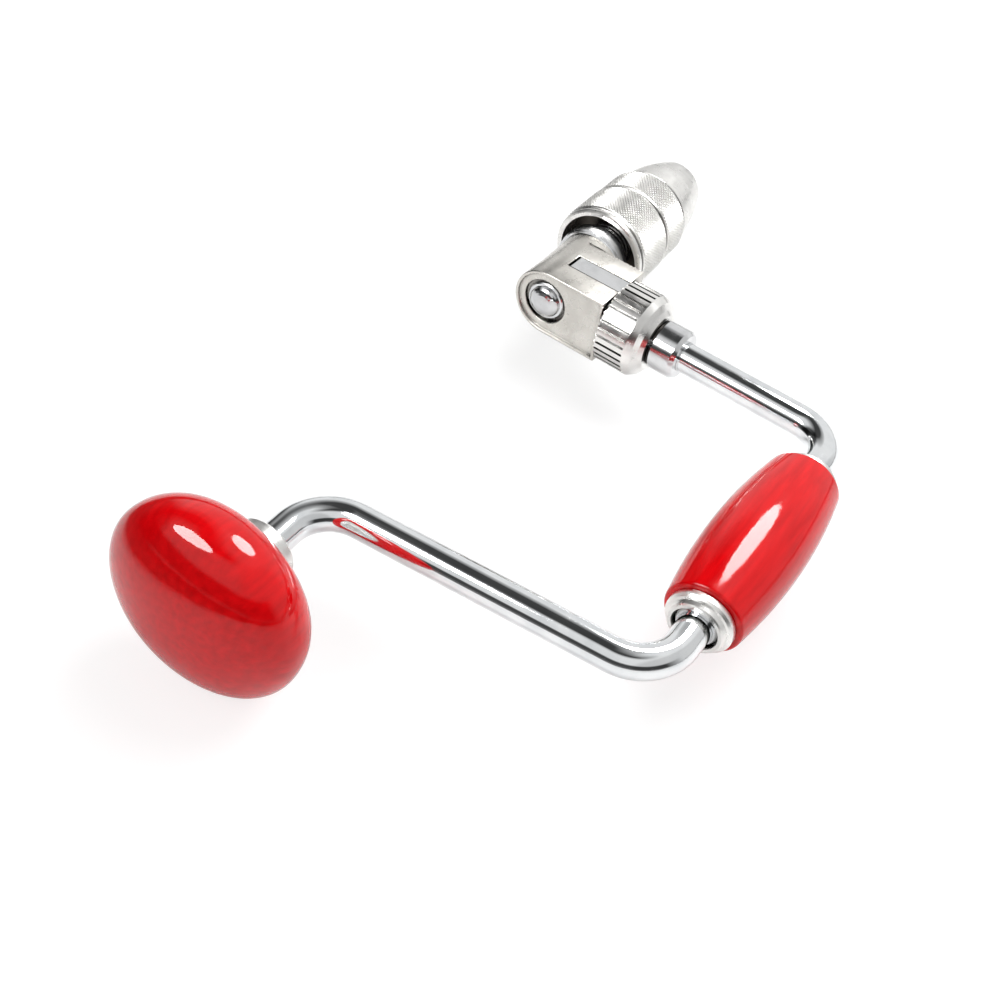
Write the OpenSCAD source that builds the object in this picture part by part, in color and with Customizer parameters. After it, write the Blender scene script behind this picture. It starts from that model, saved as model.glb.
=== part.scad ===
// Bit brace: a cranked bow with a turning head, a turning grip, a boxed ratchet and a jaw chuck.
// The origin is on the axis of rotation, in the plane of the chuck's mouth.
// +X points out of the mouth, the crank reaches towards -Y and +Z is square to the bow's plane.

/* [Bow] */
// Diameter of the steel rod
rod_d = 12; // [10:0.5:14]
// Radius of the circle that the grip sweeps
sweep_r = 125; // [100:5:150]
// Distance between the two arms, measured on the axis of rotation
arm_gap = 150; // [144:2:170]
// How far the head-side arm leans in at the grip
lean_head = 7.5; // [0:0.5:12]
// How far the chuck-side arm leans in at the grip
lean_chuck = 8; // [0:0.5:12]
// Bend radius on the rod's centre line
bend_r = 17; // [14:1:20]
// Length of rod between the head-side arm and the shoulder that carries the head
stub_len = 25; // [22:1:40]

/* [Head] */
// Diameter of the wooden head
head_d = 72; // [60:1:90]
// Height of the domed face in front of the rim
head_dome = 19; // [14:1:26]
// Depth of the rounded back behind the rim
head_back = 17; // [14:1:24]
// Diameter of the seat at the back of the head
head_seat_d = 38; // [36:1:46]
// Diameter of the flange that is screwed to the head
flange_d = 36; // [34:1:44]
// Thickness of the flange
flange_t = 2.5; // [2:0.5:4]
// Outer diameter of the flange's hub
hub_d = 22; // [18:0.5:24]
// Length of the hub behind the flange
hub_len = 9; // [7:0.5:14]
// Length of the sleeve that reaches into the head
sleeve_len = 6; // [5:0.5:10]
// Diameter of the journal at the end of the bow
journal_d = 9; // [7:0.5:9]
// Diameter of the bearing balls
ball_d = 3; // [2.5:0.5:3]
// Number of bearing balls
ball_count = 9; // [6:1:9]
// Diameter of the head screws' shanks
screw_d = 3; // [2.5:0.5:3.5]
// Length of the head screws
screw_len = 12; // [8:1:14]

/* [Grip] */
// Length of the wooden grip
grip_len = 76; // [60:2:80]
// Diameter at the grip's middle
grip_mid_d = 34.4; // [32:0.2:40]
// Diameter at the grip's ends
grip_end_d = 27.6; // [27:0.2:31]
// Outer diameter of the end ferrules
ferrule_d = 24; // [22:0.2:26]
// Length of a ferrule outside the wood
ferrule_out = 5.5; // [4.5:0.5:6.5]
// Length of a ferrule's sleeve inside the wood
ferrule_in = 8; // [5:0.5:12]
// Width of the collar that keeps the grip in place
stop_w = 2.5; // [1.5:0.5:4]

/* [Ratchet body] */
// Height of the ratchet body, square to the bow's plane
body_h = 28.4; // [27:0.2:32]
// Distance from the arm's centre line to the rear face
body_rear = 12.4; // [11:0.2:15]
// Distance from the arm's centre line to the front face
body_front = 16; // [15:0.5:20]
// Distance from the arm's centre line to the middle of the wheel and the pawls
wheel_off = 2.4; // [1.6:0.2:3]
// Distance from the axis of rotation to the face against the selector ring
body_reach = 27.2; // [26:0.2:31]
// Distance from the axis of rotation to the round end
body_back = 12.8; // [12.6:0.2:15]
// Length of the round nose in front of the body
boss_len = 5; // [3:0.5:8]
// Width of the raised rim round the rear face
rim_w = 1.3; // [0.8:0.1:2]
// Depth of the dish inside the rim
rim_t = 1.3; // [0.5:0.1:1.5]

/* [Ratchet wheel and pawls] */
// Number of ratchet teeth
teeth = 12; // [8:4:16]
// Outer diameter of the ratchet wheel
wheel_d = 21; // [19:0.5:21.5]
// Depth of the ratchet teeth
tooth_h = 1.6; // [1.2:0.1:1.7]
// Width of a pawl
pawl_w = 7.6; // [6:0.2:8]
// Gap on each side of a pawl in its slot
slot_gap = 0.45; // [0.3:0.05:0.6]
// Thickness of a pawl
pawl_t = 3.6; // [3:0.1:4]
// Distance from the axis of rotation to a pawl's pivot
pawl_pivot_y = 19; // [17:0.5:20.5]
// Diameter of the pawl pins
pawl_pin_d = 2; // [1.5:0.1:2.2]
// How far a pawl turns between holding and free, in degrees
pawl_swing = 10; // [9:0.5:11]
// Turn of the selector ring between its two ends, in degrees
selector_turn = 60; // [50:5:70]

/* [Selector ring] */
// Outer diameter of the fluted part
ring_d = 34; // [33:0.5:38]
// Length of the fluted part
ring_flute_len = 13.8; // [10:0.2:16]
// Length of the smooth shoulder
ring_shoulder_len = 5.7; // [5:0.1:9]
// Diameter of the shoulder's small end
ring_small_d = 23; // [22.5:0.5:26]
// Gap between the ratchet body and the selector ring
ring_gap = 0.7; // [0.25:0.05:0.8]
// Number of flutes
flutes = 34; // [20:1:40]
// Width of a flute
flute_w = 1.1; // [0.8:0.1:1.6]
// Depth of a flute
flute_depth = 1.2; // [0.8:0.1:1.6]
// Diameter of the collar behind the ring
collar_d = 20; // [18:0.5:21]
// Length of the collar
collar_len = 10.2; // [8:0.2:18]
// Thickness of the split ring between the selector ring and the collar
clip_t = 1; // [0.8:0.1:1.6]

/* [Spindle] */
// Diameter of the spindle's rear journal
rear_journal_d = 11; // [9:0.5:12]
// Diameter of the domed end nut
end_nut_d = 16; // [15:0.5:17]
// Height of the domed end nut
end_nut_h = 4.4; // [3:0.2:5]
// Diameter of the front journal
front_journal_d = 15; // [13:0.5:16]
// Diameter of the thrust collar in front of the body
thrust_d = 29; // [22:0.5:30]
// Length of the thrust collar
thrust_len = 6; // [4:0.5:6]
// Thickness of the washer between the body and the thrust collar
thrust_washer_t = 1.5; // [1:0.1:2]
// Outside diameter of the chuck thread
thread_d = 20; // [18:0.5:21]
// Advance of the chuck thread in one turn
thread_pitch = 2; // [1.5:0.25:3]

/* [Chuck] */
// Distance from the arm's centre line to the chuck's mouth
chuck_reach = 97; // [96:1:115]
// Length of the chuck shell
shell_len = 67.5; // [62:0.5:68]
// Largest diameter of the chuck shell
shell_d = 40; // [39:0.5:44]
// Diameter of the shell at the mouth
nose_d = 22; // [21:0.2:26]
// Length of the smooth conical nose
nose_len = 26; // [20:0.5:27]
// Length of the front knurled band
knurl_front_len = 16.5; // [14:0.5:18]
// Bore of the mouth
mouth_d = 16.4; // [16:0.1:17]
// Thickness of the wall round the hollow at the rear
hollow_wall = 2.5; // [2.3:0.1:5]
// Depth of the hollow at the rear
hollow_len = 10; // [8:0.5:14]
// Diameter of the round shank that the jaws hold at rest
grip_shank_d = 8; // [6:0.5:9]
// Width of a jaw
jaw_w = 9; // [8:0.5:10]
// How far the jaws stand out of the mouth
jaw_out = 2; // [1:0.5:3]
// Shell travel towards the ratchet, which closes the jaws
close_travel = 4; // [3:0.5:5]
// Shell travel away from the ratchet, which opens the jaws
open_travel = 8; // [5:0.5:9]

/* [Fits] */
// Radial clearance of a turning fit
run_c = 0.08; // [0.04:0.01:0.1]
// Clearance between parts that pass or face each other
gap = 0.3; // [0.2:0.05:0.5]

/* [Hidden] */
$fn = 72;

// Stations along the axis of rotation
arm2_x = -chuck_reach;
arm1_x = arm2_x - arm_gap;
journal_x = arm1_x - stub_len;
arm2_tilt = -atan(lean_chuck / sweep_r);

// Head stations, counted from the hub's face towards the dome
hub_x = journal_x - gap;
seat_x = hub_x - hub_len - flange_t;
head_x = seat_x - head_back;
sleeve_x = seat_x - sleeve_len;
ball_sink = 0.4;
ball_x = sleeve_x - ball_d / 2 + ball_sink;
washer_x = ball_x - ball_d / 2 + ball_sink;
washer_t = 1.6;
nut_x = washer_x - washer_t;
nut_h = 4;
nut_af = 12;
sleeve_d = journal_d + 2 * ball_d;
ball_ring_r = (journal_d + sleeve_d) / 4 + 0.15;
thread_end_d = journal_d - 1;
well_d = sleeve_d + 1.4;
well_x = nut_x - nut_h - 2;
screw_ring_r = (hub_d + flange_d) / 4;
screw_head_d = screw_d * 1.9;

// Bow
grip_y = -sweep_r;
corner1 = [arm1_x, 0];
corner2 = [arm1_x + lean_head, grip_y];
corner3 = [arm2_x - lean_chuck, grip_y];
corner4 = [arm2_x, 0];
weld = 0.5;
weld_step = 0.2;
socket_depth = 9;
arm_end = body_reach - socket_depth;

// Grip
grip_mid_x = (corner2[0] + corner3[0]) / 2;
ferrule_bore = rod_d + 2 * run_c;
stop_d = rod_d + 3.4;
stop_well_d = stop_d + 1.2;
stop_well = stop_w + 1;
ferrule_sleeve_d = stop_well_d + 2;

// Ratchet body
boss_shift = body_back - body_h / 2;
boss_x = arm2_x + body_front + boss_len;
cavity_d = wheel_d + 0.8;
wheel_x = arm2_x + wheel_off;
wheel_w = pawl_w + 0.6;
rear_wall_x = wheel_x - wheel_w / 2 - 0.6;
bush_x = wheel_x + wheel_w / 2 + 0.6;
counterbore_d = end_nut_d + 3;
counterbore_t = 3;
nut_seat_x = arm2_x - body_rear + counterbore_t;
nut_rim_t = 1.4;
nut_dome_r = end_nut_d / 2 - 1.3;

// Pawls, in the frame of the chuck-side arm
tooth_pitch = 360 / teeth;
pawl_angle = tooth_pitch * round(30 / tooth_pitch);
root_r = wheel_d / 2 - tooth_h;
notch_slope = 18;
notch_share = 0.58;
notch_rim = notch_share * PI * wheel_d / teeth;
notch_root = notch_rim - 2 * tooth_h * tan(notch_slope);
pawl_floor = body_h / 2 - pawl_t - 0.2;
pawl_mid_z = pawl_floor + pawl_t / 2;
tooth_c = 0.12;
tooth_face_c = 0.35;
slot_end_gap = 1.2;
tooth_tip_r = root_r + 2 * tooth_c;
tooth_top_r = (pawl_floor + 0.6) / cos(pawl_angle);
tooth_tip_w = notch_root - 2 * tooth_c;
rim_depth = sqrt(pow(wheel_d / 2, 2) - pow(notch_rim / 2, 2));
notch_corner = [-rim_depth * sin(pawl_angle) + notch_rim / 2 * cos(pawl_angle),
    rim_depth * cos(pawl_angle) + notch_rim / 2 * sin(pawl_angle)];
tooth_face_r = norm(notch_corner - [-pawl_pivot_y, pawl_mid_z]) - tooth_face_c;
pawl_nose_y = pawl_pivot_y - tooth_face_r + 0.1;
pawl_tail_y = body_reach + 4.6;
pawl_tail_w = 2.6;
pawl_tail_t = 2;
slot_w = pawl_w + 2 * slot_gap;
tooth_room = 7;
slot_end_y = pawl_nose_y - slot_end_gap;
spring_floor = pawl_floor - 3.2;
spring_d = (body_reach - pawl_pivot_y) / 2 - 0.5;
spring_y = body_reach - spring_d / 2 - 1.2;
spring_drop = (spring_y - pawl_pivot_y) * sin(pawl_swing);
pawl_pin_len = body_front - wheel_off + slot_w / 2 + 2;

// Selector ring, in the frame of the chuck-side arm
ring_face_y = body_reach + ring_gap;
ring_back_y = ring_face_y + ring_flute_len + ring_shoulder_len;
clip_gap = 0.3;
clip_y = ring_back_y + clip_gap;
collar_y = clip_y + clip_t + clip_gap;
cam_c = gap + 0.15;
cam_high = pawl_floor + pawl_t + cam_c;
cam_low = pawl_mid_z + pawl_t / 2 * cos(pawl_swing)
    - (ring_face_y - pawl_pivot_y) * sin(pawl_swing) + cam_c;
cam_len = pawl_tail_y - ring_face_y + 1;
cam_lap = 6.5;
detent_d = 2.2;
detent_r = cam_low + detent_d / 2 + 0.5;
detent_a = 30;
detent_out = ring_gap + 0.2;
detent_spring_len = 4;
detent_hole = detent_d - detent_out + detent_spring_len + 0.2;

// Spindle and chuck
thrust_x = boss_x + thrust_washer_t + gap;
shell_x = -shell_len;
hollow_d = shell_d - 2 * hollow_wall;
hub_end_x = shell_x + hollow_len;
thread_turns = 6;
hub_front_x = hub_end_x + thread_turns * thread_pitch;
thread_start_x = hub_end_x - close_travel - 3;
slot_rear_x = hub_end_x + 1;
spindle_end_x = hub_front_x + open_travel + 2;
jaw_gap = 3;
jaw_rear_t = 5.4;
jaw_pivot_x = slot_rear_x + jaw_rear_t / 2 + gap;
jaw_pivot_z = jaw_gap / 2 + jaw_rear_t / 2;
jaw_slope = 0.2;
ring_land_x = -14;
ring_len = 7;
jaw_tip_r = grip_shank_d / 2 + 2.2;
jaw_land_r = jaw_tip_r + jaw_slope * 9;
land_c = 0.36;
ring_wall = 3.45;
land_r = jaw_land_r + land_c;
ring_seat_r = jaw_land_r + ring_wall;
cavity_r = ring_seat_r + run_c;
jaw_back_r = cavity_r - 1.4;
jaw_spring_d = 4;
tang_d = 8.4;
tang_depth = 7;
jaw_spring_x = jaw_pivot_x + 2 * jaw_spring_d;
jaw_pocket_z = 3.5;

// Turns the z axis of its children to +X and moves them to x
module along_x(x = 0) {
    translate([x, 0, 0]) rotate([0, 90, 0]) children();
}

// A solid turned about X from [x, radius] points
module turned(points) {
    rotate([0, 90, 0]) rotate_extrude() polygon([for (p = points) [p[1], p[0]]]);
}

// A rod along X from x0 to x1
module rod_x(x0, x1, d) {
    along_x(x0) cylinder(d = d, h = x1 - x0);
}

// Children drawn in the frame of the chuck-side arm: its rod lies along -Y there
module on_arm() {
    translate([arm2_x, 0, 0]) rotate([0, 0, arm2_tilt]) children();
}

// Turns the z axis of its children to -Y and starts them at distance y from the axis
module along_arm(y = 0) {
    translate([0, -y, 0]) rotate([90, 0, 0]) children();
}

// Direction of a flat vector in degrees
function heading(v) = atan2(v[1], v[0]);

// Turn at a corner, between -180 and 180 degrees
function corner_turn(a, b, c) =
    let (t = heading(c - b) - heading(b - a)) t > 180 ? t - 360 : t < -180 ? t + 360 : t;

// Length that a bend takes off each side of a corner
function bend_cut(turn) = bend_r * tan(abs(turn) / 2);

// A straight stretch of rod between two flat points, which runs on a little into what it meets
module rod_run(a, b) {
    translate([a[0], a[1], 0]) rotate([0, 0, heading(b - a)]) rotate([0, 90, 0])
        translate([0, 0, -weld]) cylinder(d = rod_d, h = norm(b - a) + 2 * weld);
}

// The bend at corner b, on the way from a to c
module rod_bend(a, b, c) {
    turn = corner_turn(a, b, c);
    into = (b - a) / norm(b - a);
    start = b - into * bend_cut(turn);
    side = turn > 0 ? 1 : -1;
    centre = start + side * bend_r * [-into[1], into[0]];
    from = heading(start - centre);
    translate([centre[0], centre[1], 0]) rotate([0, 0, turn > 0 ? from : from + turn])
        rotate_extrude(angle = abs(turn)) translate([bend_r, 0])
            circle(d = rod_d - weld_step);
}

// A spring wire: one unbroken helix about Z with flat ground ends
module coil_spring(coil_d, wire_d, height, turns) {
    sides = 8;
    steps = 16;
    rings = turns * steps;
    coil_r = (coil_d - wire_d) / 2;
    pitch_z = (height - wire_d) / rings;
    points = [for (i = [0:rings]) for (j = [0:sides - 1])
        let (a = 360 * i / steps, b = 360 * j / sides, r = coil_r + wire_d / 2 * cos(b))
            [r * cos(a), r * sin(a), wire_d / 2 + i * pitch_z + wire_d / 2 * sin(b)]];
    faces = concat(
        [for (i = [0:rings - 1]) for (j = [0:sides - 1])
            let (k = (j + 1) % sides)
                [i * sides + j, i * sides + k, (i + 1) * sides + k, (i + 1) * sides + j]],
        [[for (j = [sides - 1:-1:0]) j]],
        [[for (j = [0:sides - 1]) rings * sides + j]]);
    polyhedron(points = points, faces = faces);
}

// Outline of the head from its flat seat round the rim to the middle of the dome
function head_profile() = concat(
    [for (i = [0:12]) let (a = 90 * i / 12, s = head_seat_d / 2)
        [seat_x - head_back * (1 - cos(a)), s + (head_d / 2 - s) * sin(a)]],
    [for (i = [1:18]) let (a = 90 * i / 18)
        [head_x - head_dome * sin(a), head_d / 2 * cos(a)]]);

module head_knob() {
    color("crimson") difference() {
        turned(concat([[seat_x, 0]], head_profile()));
        rod_x(well_x, seat_x + 1, well_d);
        for (i = [0:2]) rotate([120 * i, 0, 0]) translate([0, 0, screw_ring_r])
            rod_x(seat_x - screw_len + flange_t, seat_x + 1, screw_d);
    }
}

module head_flange() {
    color("silver") difference() {
        turned([[sleeve_x, 0], [sleeve_x, sleeve_d / 2], [seat_x, sleeve_d / 2],
            [seat_x, flange_d / 2], [seat_x + flange_t / 2, flange_d / 2],
            [seat_x + flange_t, flange_d / 2 - 1.4], [seat_x + flange_t, hub_d / 2 + 1],
            [seat_x + flange_t + 1, hub_d / 2], [hub_x - 1, hub_d / 2],
            [hub_x, hub_d / 2 - 1], [hub_x, 0]]);
        rod_x(sleeve_x - 1, hub_x + 1, journal_d + 2 * run_c);
        ball_groove(ball_x);
        for (i = [0:2]) rotate([120 * i, 0, 0]) translate([0, 0, screw_ring_r]) {
            rod_x(seat_x - 1, seat_x + flange_t + 1, screw_d);
            along_x(seat_x + flange_t - 1.5)
                cylinder(d1 = screw_d, d2 = screw_head_d + 0.4, h = 1.6);
        }
    }
}

// The round track that the balls run in
module ball_groove(x) {
    along_x(x) rotate_extrude() translate([ball_ring_r, 0])
        circle(d = ball_d + 2 * run_c, $fn = 48);
}

module head_screws() {
    color("gainsboro") for (i = [0:2]) rotate([120 * i, 0, 0]) translate([0, 0, screw_ring_r]) {
        difference() {
            union() {
                rod_x(seat_x - screw_len + flange_t, seat_x + flange_t - 1, screw_d - 0.02);
                along_x(seat_x + flange_t - 1.6)
                    cylinder(d1 = screw_d - 0.2, d2 = screw_head_d, h = 1.5);
            }
            translate([seat_x + flange_t - 0.6, -0.4, -screw_head_d])
                cube([1, 0.8, 2 * screw_head_d]);
        }
    }
}

module head_balls() {
    color("lightgray") for (i = [0:ball_count - 1]) rotate([360 / ball_count * i, 0, 0])
        translate([ball_x, 0, ball_ring_r]) sphere(d = ball_d, $fn = 32);
}

module head_washer() {
    color("silver") difference() {
        rod_x(washer_x - washer_t, washer_x, sleeve_d);
        rod_x(washer_x - washer_t - 1, washer_x + 1, thread_end_d);
        ball_groove(ball_x);
    }
}

module head_nut() {
    color("silver") difference() {
        along_x(nut_x - nut_h) cylinder(d = nut_af / cos(30), h = nut_h, $fn = 6);
        rod_x(nut_x - nut_h - 1, nut_x + 1, thread_end_d);
    }
}

module bow() {
    turn1 = corner_turn([journal_x, 0], corner1, corner2);
    turn2 = corner_turn(corner1, corner2, corner3);
    turn3 = corner_turn(corner2, corner3, corner4);
    arm1 = (corner2 - corner1) / norm(corner2 - corner1);
    arm2 = (corner4 - corner3) / norm(corner4 - corner3);
    color("lightsteelblue") union() {
        rod_run([journal_x + weld, 0], corner1 - [bend_cut(turn1), 0]);
        rod_bend([journal_x, 0], corner1, corner2);
        rod_run(corner1 + arm1 * bend_cut(turn1), corner2 - arm1 * bend_cut(turn2));
        rod_bend(corner1, corner2, corner3);
        rod_run(corner2 + [bend_cut(turn2), 0], corner3 - [bend_cut(turn3), 0]);
        rod_bend(corner2, corner3, corner4);
        rod_run(corner3 + arm2 * bend_cut(turn3), corner4 - arm2 * arm_end);
        rod_x(washer_x, journal_x + 0.5, journal_d);
        rod_x(nut_x - nut_h - 1, washer_x + 0.5, thread_end_d);
    }
}

// Barrel outline of the grip, as the radius at x from its middle
function grip_r(x) = grip_mid_d / 2 - (grip_mid_d - grip_end_d) / 2 * pow(abs(x) / (grip_len / 2), 2);

module grip_handle() {
    half = grip_len / 2;
    color("crimson") translate([grip_mid_x, grip_y, 0]) difference() {
        turned(concat([[-half, 0], [-half, grip_end_d / 2 - 1]],
            [for (i = [-10:10]) let (x = (half - 1) * i / 10) [x, grip_r(x)]],
            [[half, grip_end_d / 2 - 1], [half, 0]]));
        rod_x(-half - 1, half + 1, rod_d + 2.4);
        for (s = [-1, 1]) rod_x(s * (half + 1) - (s > 0 ? ferrule_in + 1 : 0),
            s * (half + 1) + (s < 0 ? ferrule_in + 1 : 0), ferrule_sleeve_d);
    }
}

// A stepped end cap, drawn for the end that faces +X, with its rim against the wood at x = 0
module grip_ferrule() {
    color("silver") difference() {
        turned([[-ferrule_in, 0], [-ferrule_in, ferrule_sleeve_d / 2], [0, ferrule_sleeve_d / 2],
            [0, ferrule_d / 2 - 0.4], [0.4, ferrule_d / 2], [2.4, ferrule_d / 2],
            [3.2, ferrule_d / 2 - 0.8], [3.5, ferrule_d / 2 - 1.6],
            [ferrule_out - 0.4, ferrule_d / 2 - 2], [ferrule_out, ferrule_d / 2 - 2.5],
            [ferrule_out, 0]]);
        rod_x(-ferrule_in - 1, ferrule_out + 1, ferrule_bore);
        rod_x(ferrule_out - stop_well, ferrule_out + 1, stop_well_d);
    }
}

module grip_ferrule_front() {
    translate([grip_mid_x + grip_len / 2, grip_y, 0]) grip_ferrule();
}

module grip_ferrule_rear() {
    translate([grip_mid_x - grip_len / 2, grip_y, 0]) mirror([1, 0, 0]) grip_ferrule();
}

// A collar fixed to the rod, which the ferrule turns against
module grip_stop() {
    x = ferrule_out - stop_well + 0.2;
    color("gainsboro") difference() {
        turned([[x, 0], [x, stop_d / 2], [x + stop_w - 0.8, stop_d / 2],
            [x + stop_w, stop_d / 2 - 0.8], [x + stop_w, 0]]);
        rod_x(x - 1, x + stop_w + 1, rod_d);
    }
}

module grip_stop_front() {
    translate([grip_mid_x + grip_len / 2, grip_y, 0]) grip_stop();
}

module grip_stop_rear() {
    translate([grip_mid_x - grip_len / 2, grip_y, 0]) mirror([1, 0, 0]) grip_stop();
}

// Side outline of the ratchet body, drawn as y and z: a round end and a straight box
module body_outline(inset = 0) {
    translate([boss_shift, 0]) circle(d = body_h - 2 * inset);
    translate([-body_reach + inset, -body_h / 2 + inset])
        square([body_reach + boss_shift - inset, body_h - 2 * inset]);
}

// Extrudes a side outline from x0 to x1
module side_slab(x0, x1) {
    translate([x0, 0, 0]) rotate([90, 0, 90]) linear_extrude(height = x1 - x0) children();
}

module ratchet_body() {
    color("silver") difference() {
        union() {
            on_arm() side_slab(-body_rear, body_front) body_outline();
            translate([0, boss_shift, 0]) rod_x(arm2_x, boss_x, body_h - 0.1);
        }
        on_arm() {
            side_slab(-body_rear - 1, -body_rear + rim_t) body_outline(rim_w);
            along_arm(arm_end) cylinder(d = rod_d, h = socket_depth + 1);
            pawl_slot();
            mirror([0, 0, 1]) pawl_slot();
            rotate([0, -detent_a, 0]) translate([detent_r, -body_reach - 1, 0])
                rotate([-90, 0, 0]) cylinder(d = detent_d + 2 * run_c, h = detent_hole + 1, $fn = 32);
        }
        rod_x(arm2_x - body_rear - 2, rear_wall_x + 0.1, rear_journal_d + 2 * run_c);
        rod_x(arm2_x - body_rear - 3, nut_seat_x, counterbore_d);
        rod_x(rear_wall_x, boss_x + 1, cavity_d);
    }
}

// Slot for the upper pawl, with the room for its spring and tooth and the hole for its pin
module pawl_slot() {
    translate([wheel_off - slot_w / 2, 0, 0]) {
        translate([0, -body_reach - 1, pawl_floor - gap])
            cube([slot_w, body_reach + 1 - slot_end_y, body_h]);
        translate([0, -body_reach - 1, spring_floor])
            cube([slot_w, body_reach - pawl_pivot_y - 0.5, 3]);
        translate([0, -slot_end_y - tooth_room, root_r * 0.5])
            cube([slot_w, tooth_room, body_h / 2]);
    }
    translate([body_front + 1, -pawl_pivot_y, pawl_mid_z]) rotate([0, -90, 0])
        cylinder(d = pawl_pin_d, h = pawl_pin_len + 1.1, $fn = 32);
}

module front_bush() {
    color("darkkhaki") difference() {
        rod_x(bush_x, boss_x - 0.5, cavity_d);
        rod_x(bush_x - 1, boss_x + 1, front_journal_d + 2 * run_c);
    }
}

// Round blank with tapered notches, one of which is centred on the Z axis
module ratchet_wheel() {
    color("dimgray") translate([wheel_x, 0, 0]) rotate([0, 90, 0]) difference() {
        translate([0, 0, -wheel_w / 2]) cylinder(d = wheel_d, h = wheel_w);
        for (i = [0:teeth - 1]) rotate([0, 0, tooth_pitch * i])
            translate([root_r, 0, -wheel_w / 2 - 1]) linear_extrude(height = wheel_w + 2)
                polygon(taper(notch_root, 2 * tooth_h));
        translate([0, 0, -wheel_w]) cylinder(d = front_journal_d - 1, h = 2 * wheel_w);
    }
}

// Corners of a notch or tooth: its narrow end lies on the Y axis and it widens along +X
function taper(narrow, length) =
    let (wide = narrow / 2 + length * tan(notch_slope))
        [[0, -narrow / 2], [0, narrow / 2], [length, wide], [length, -wide]];

// The tooth in a wheel notch, with a face that follows the pawl's arc and so draws out freely
module pawl_tooth() {
    intersection() {
        rotate([0, 0, -arm2_tilt]) rotate([pawl_angle, 0, 0])
            translate([wheel_off - pawl_w / 2 + 0.6, 0, tooth_tip_r]) rotate([0, -90, 180])
                linear_extrude(height = pawl_w - 1.2)
                    polygon(taper(tooth_tip_w, tooth_top_r - tooth_tip_r));
        translate([wheel_off - pawl_w, -pawl_pivot_y, pawl_mid_z]) rotate([0, 90, 0])
            cylinder(r = tooth_face_r, h = 2 * pawl_w);
    }
}

// The upper pawl in its holding place: a flat bar, a narrow tail and a tooth
module pawl() {
    difference() {
        union() {
            translate([wheel_off - pawl_w / 2, -body_reach + 0.3, pawl_floor])
                cube([pawl_w, body_reach - 0.3 - pawl_nose_y, pawl_t]);
            translate([-pawl_tail_w / 2, -pawl_tail_y, pawl_floor + pawl_t - pawl_tail_t])
                cube([pawl_tail_w, pawl_tail_y - body_reach + 1, pawl_tail_t]);
            pawl_tooth();
        }
        translate([wheel_off - pawl_w, -pawl_pivot_y, pawl_mid_z]) rotate([0, 90, 0])
            cylinder(d = pawl_pin_d + 2 * run_c, h = 2 * pawl_w, $fn = 32);
    }
}

module pawl_top() {
    color("gainsboro") on_arm() pawl();
}

// The lower pawl is stored swung free, as the selector ring holds it
module pawl_bottom() {
    color("gainsboro") on_arm() translate([0, -pawl_pivot_y, -pawl_mid_z])
        rotate([-pawl_swing, 0, 0]) translate([0, pawl_pivot_y, pawl_mid_z])
            mirror([0, 0, 1]) pawl();
}

module pawl_pin() {
    color("silver") translate([body_front, -pawl_pivot_y, pawl_mid_z]) rotate([0, -90, 0])
        cylinder(d = pawl_pin_d, h = pawl_pin_len, $fn = 32);
}

module pawl_pin_top() {
    on_arm() pawl_pin();
}

module pawl_pin_bottom() {
    on_arm() mirror([0, 0, 1]) pawl_pin();
}

module pawl_spring_top() {
    color("gray") on_arm() translate([wheel_off, -spring_y, spring_floor + 0.05])
        coil_spring(spring_d, 0.5, pawl_floor - spring_floor - 0.1, 3);
}

module pawl_spring_bottom() {
    color("gray") on_arm() mirror([0, 0, 1]) translate([wheel_off, -spring_y, spring_floor + 0.05])
        coil_spring(spring_d, 0.5, pawl_floor - spring_floor - spring_drop - 0.4, 2);
}

// Inner outline of the selector ring by angle: beside each pawl tail it ramps between the
// radius that leaves the pawl in the wheel and the radius that holds it out
function cam_r(a) =
    let (rise = (a - 90 + selector_turn + cam_lap) / selector_turn,
         fall = (a - 270 + selector_turn - cam_lap) / selector_turn,
         k = a < 180 ? max(0, min(1, rise)) : 1 - max(0, min(1, fall)))
        cam_low + (cam_high - cam_low) * k;

module selector_ring() {
    color("gainsboro") on_arm() difference() {
        along_arm() rotate_extrude() polygon([[0, ring_face_y], [ring_d / 2 - 1, ring_face_y],
            [ring_d / 2, ring_face_y + 1], [ring_d / 2, ring_face_y + ring_flute_len],
            [ring_d / 2 - 1.6, ring_face_y + ring_flute_len + 2.6],
            [ring_small_d / 2 + 1.4, ring_back_y - 1.6], [ring_small_d / 2, ring_back_y],
            [0, ring_back_y]]);
        along_arm(ring_face_y - 1)
            cylinder(d = rod_d + 2 * run_c, h = ring_back_y - ring_face_y + 2);
        along_arm(ring_face_y - 1) linear_extrude(height = cam_len + 1)
            polygon([for (i = [0:119]) cam_r(3 * i) * [cos(3 * i), sin(3 * i)]]);
        for (i = [0:flutes - 1]) along_arm(ring_face_y - 1) rotate([0, 0, 360 / flutes * i])
            translate([ring_d / 2 - flute_depth, -flute_w / 2, 0])
                cube([2 * flute_depth, flute_w, ring_flute_len + 0.6]);
        detent_track();
    }
}

// The ball's track in the ring's face, with a deeper dimple at each end
module detent_track() {
    along_arm(body_reach - detent_d / 2 + detent_out) {
        rotate([0, 0, detent_a - selector_turn]) rotate_extrude(angle = selector_turn)
            translate([detent_r, 0]) circle(d = detent_d + 2 * run_c, $fn = 32);
        for (a = [0, -selector_turn]) rotate([0, 0, detent_a + a]) translate([detent_r, 0, 0.3])
            sphere(d = detent_d + 2 * run_c, $fn = 32);
    }
}

module detent_ball() {
    color("lightgray") on_arm() rotate([0, -detent_a, 0])
        translate([detent_r, -body_reach + detent_d / 2 - detent_out, 0])
            sphere(d = detent_d, $fn = 32);
}

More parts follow.
